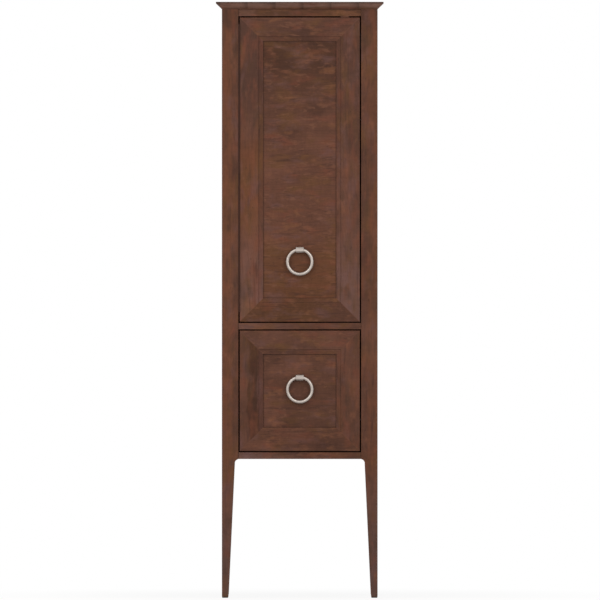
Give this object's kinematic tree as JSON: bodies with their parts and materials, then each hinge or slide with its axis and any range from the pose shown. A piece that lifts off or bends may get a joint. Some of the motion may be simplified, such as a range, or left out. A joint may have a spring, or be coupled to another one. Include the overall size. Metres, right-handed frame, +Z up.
{
  "type": "tall bathroom cabinet",
  "caption": "Tall narrow bathroom cabinet on tapered legs, with a panelled door above, a deep panelled drawer below and a ring pull on each.",
  "frame": {"origin": "on the floor, under the middle of the crown", "axes": "+Z up, the front faces -Y, +X to the right seen from the front"},
  "size_m": [0.478, 0.367, 1.7],
  "materials": {
    "stained_wood": "solid wood, mottled dark walnut stain under satin lacquer",
    "veneered_board": "plywood with stained walnut veneer, matt lacquer",
    "beech": "planed beech, clear matt lacquer",
    "shelf_glass": "clear toughened glass, polished edges",
    "satin_nickel": "satin nickel plate",
    "zinc_steel": "bright zinc plate",
    "black_steel": "pressed steel, black electro-coat",
    "bronzed_steel": "rolled steel, brown bronze plate",
    "nylon": "moulded nylon",
    "magnet": "sintered ferrite"
  },
  "bodies": {
    "case": {"front_left_post": "stained_wood", "front_right_post": "stained_wood", "rear_left_post": "stained_wood", "rear_right_post": "stained_wood", "crown": "stained_wood", "front_top_rail": "stained_wood", "front_middle_rail": "stained_wood", "front_bottom_rail": "stained_wood", "rear_top_rail": "stained_wood", "rear_bottom_rail": "stained_wood", "left_side_panel": "stained_wood", "right_side_panel": "stained_wood", "door_stop": "stained_wood", "door_rub_block": "stained_wood", "back_panel": "veneered_board", "bottom_board": "veneered_board", "middle_board": "veneered_board", "left_slide_block": "beech", "right_slide_block": "beech", "crown_dowels": "beech", "lower_shelf": "shelf_glass", "upper_shelf": "shelf_glass", "shelf_pins": "satin_nickel", "left_slide_outer": "black_steel", "right_slide_outer": "black_steel", "hinge_post_leaf": "bronzed_steel", "hinge_pin": "bronzed_steel", "case_screws": "zinc_steel", "foot_glides": "nylon", "catch_body": "nylon", "catch_magnet": "magnet"},
    "door": {"door_bottom_rail": "stained_wood", "door_left_stile": "stained_wood", "door_top_rail": "stained_wood", "door_right_stile": "stained_wood", "door_panel": "stained_wood", "hinge_door_leaf": "bronzed_steel", "strike_plate": "zinc_steel", "door_screws": "zinc_steel", "door_pull_boss": "satin_nickel", "door_pull_screw": "zinc_steel"},
    "door_ring": {"door_pull_ring": "satin_nickel"},
    "drawer": {"drawer_front_bottom_rail": "stained_wood", "drawer_front_left_stile": "stained_wood", "drawer_front_top_rail": "stained_wood", "drawer_front_right_stile": "stained_wood", "drawer_front_panel": "stained_wood", "drawer_box_front": "beech", "drawer_box_back": "beech", "drawer_left_side": "beech", "drawer_right_side": "beech", "drawer_bottom": "beech", "left_slide_inner": "black_steel", "right_slide_inner": "black_steel", "drawer_screws": "zinc_steel", "drawer_pull_boss": "satin_nickel", "drawer_pull_screw": "zinc_steel"},
    "drawer_ring": {"drawer_pull_ring": "satin_nickel"},
    "left_slide": {"left_slide_middle": "black_steel"},
    "right_slide": {"right_slide_middle": "black_steel"}
  },
  "joints": [
    {"name": "door_swing", "type": "hinge", "parent": "case", "child": "door", "pos_m": [-0.17325, -0.1662, 1.2265], "axis": [0, 0, -1], "range_deg": [0, 165]},
    {"name": "door_ring_swing", "type": "hinge", "parent": "door", "child": "door_ring", "pos_m": [0, -0.175, 0.9915], "axis": [-1, 0, 0], "range_deg": [0, 150]},
    {"name": "drawer_slide", "type": "slide", "parent": "case", "child": "drawer", "axis": [0, -1, 0], "range_m": [0, 0.28]},
    {"name": "left_slide_extend", "type": "slide", "parent": "case", "child": "left_slide", "axis": [0, -1, 0], "range_m": [0, 0.14]},
    {"name": "right_slide_extend", "type": "slide", "parent": "case", "child": "right_slide", "axis": [0, -1, 0], "range_m": [0, 0.14]},
    {"name": "drawer_ring_swing", "type": "hinge", "parent": "drawer", "child": "drawer_ring", "pos_m": [0, -0.175, 0.627], "axis": [-1, 0, 0], "range_deg": [0, 150]}
  ],
  "couplings": [
    {"joint": "left_slide_extend", "follows": "drawer_slide", "ratio": 0.5},
    {"joint": "right_slide_extend", "follows": "drawer_slide", "ratio": 0.5}
  ]
}
